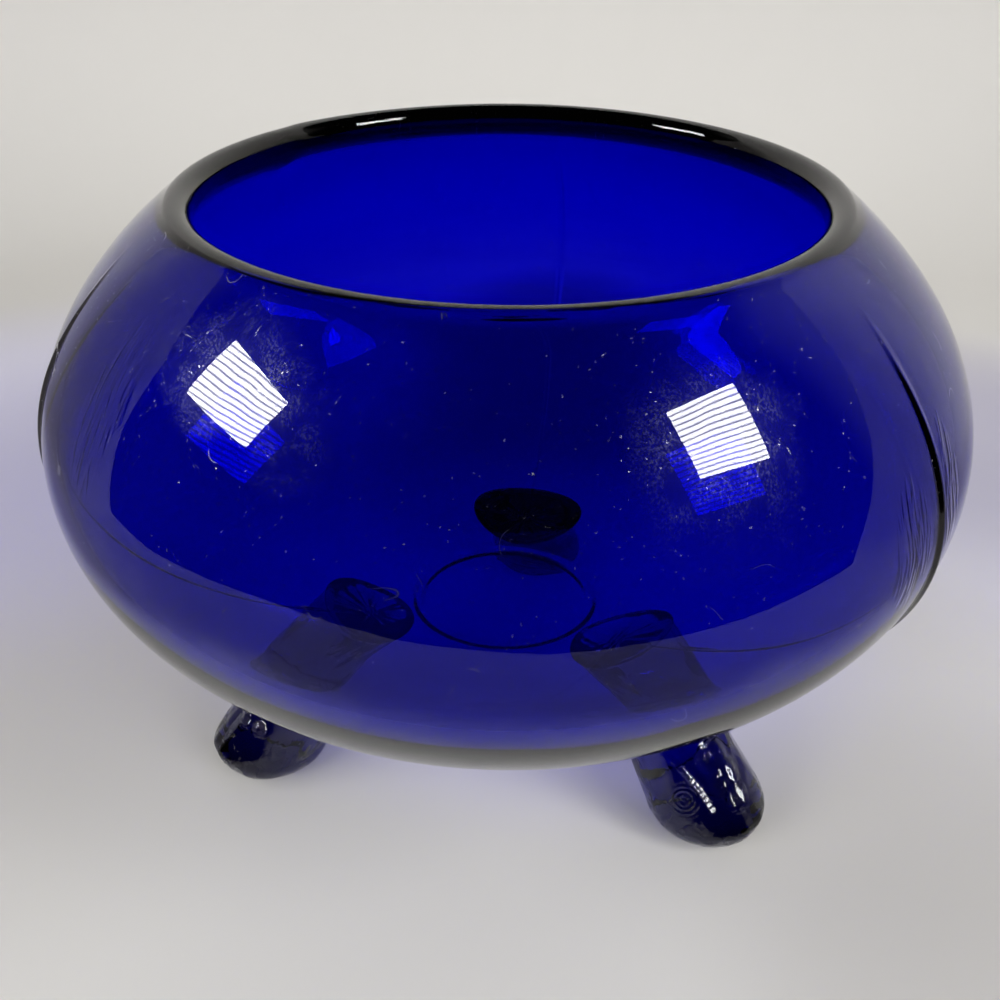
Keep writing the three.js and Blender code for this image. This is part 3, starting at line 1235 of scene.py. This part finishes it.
LAMPS = (
    SoftBox(
        "lamp_left",
        place=(-0.719, -0.247, 0.613),
        azimuth=-74.3,
        elevation=36.0,
        width=0.32,
        height=0.22,
        roll=11.5,
        mirrored=26.0,
        spacing=0.021,
        slant=10.0,
    ),
    SoftBox(
        "lamp_right",
        place=(0.682, -0.229, 0.673),
        azimuth=74.4,
        elevation=41.0,
        width=0.27,
        height=0.285,
        roll=-19.0,
        mirrored=26.0,
        spacing=0.021,
    ),
    SoftBox(
        "window_left",
        place=(-0.58, -0.60, 0.34),
        azimuth=-44.0,
        elevation=22.0,
        width=0.6,
        height=0.3,
    ),
    SoftBox(
        "window_right",
        place=(0.73, -0.40, 0.34),
        azimuth=61.0,
        elevation=22.0,
        width=0.6,
        height=0.3,
    ),
)

RIGHT_DENTS = (
    Mark((35.6, -22.5, 14.8), 3.3, 0.9),
    Mark((37.9, -23.6, 12.0), 3.6, 1.0),
    Mark((40.3, -24.5, 9.2), 2.8, 0.95),
)
RIGHT_RINGS = (Mark((32.1, -27.2, 9.7), 3.5, 0.12),)
LEFT_DENTS = (
    Mark((-37.6, -24.9, 10.9), 1.8, 0.85),
    Mark((-34.6, -26.3, 10.8), 1.8, 0.85),
)


def bead_row() -> Iterator[Mark]:
    """The row of small beads down the inner side of the right foot."""
    bends = [Vector((31.3, -25.3, 14.0)), Vector((34.3, -26.2, 11.3)), Vector((37.0, -27.7, 8.0))]
    for start, end in zip(bends, bends[1:]):
        for step in range(5):
            yield Mark(tuple(start.lerp(end, step / 5)), 0.65, 1.0)


def main() -> None:
    """Builds the bowl, the feet, the stage, the lamps and the camera."""
    logging.basicConfig(level=logging.INFO, format="%(name)s: %(message)s")
    bowl = GlassBowl()
    bowl.build()
    feet = {
        "foot_rear": (90.0, RippledGlass(Slot.FEET.value)),
        "foot_front_left": (
            210.0,
            RippledGlass(Slot.FEET.value, across=(-0.74, 0.67, 0.0), dents=LEFT_DENTS),
        ),
        "foot_front_right": (
            330.0,
            RippledGlass(Slot.FEET.value, dents=RIGHT_DENTS, beads=tuple(bead_row()), rings=RIGHT_RINGS),
        ),
    }
    for seed, (node, (azimuth, glass)) in enumerate(feet.items()):
        GlassFoot(f"{node}_glass", node, math.radians(azimuth), bowl.profile, seed, glass=glass).build()
    Stage().build()
    for lamp in LAMPS:
        lamp.build()
    Room().build()
    Camera().build()
    bpy.context.scene.view_settings.view_transform = "Standard"


if __name__ == "__main__":
    main()
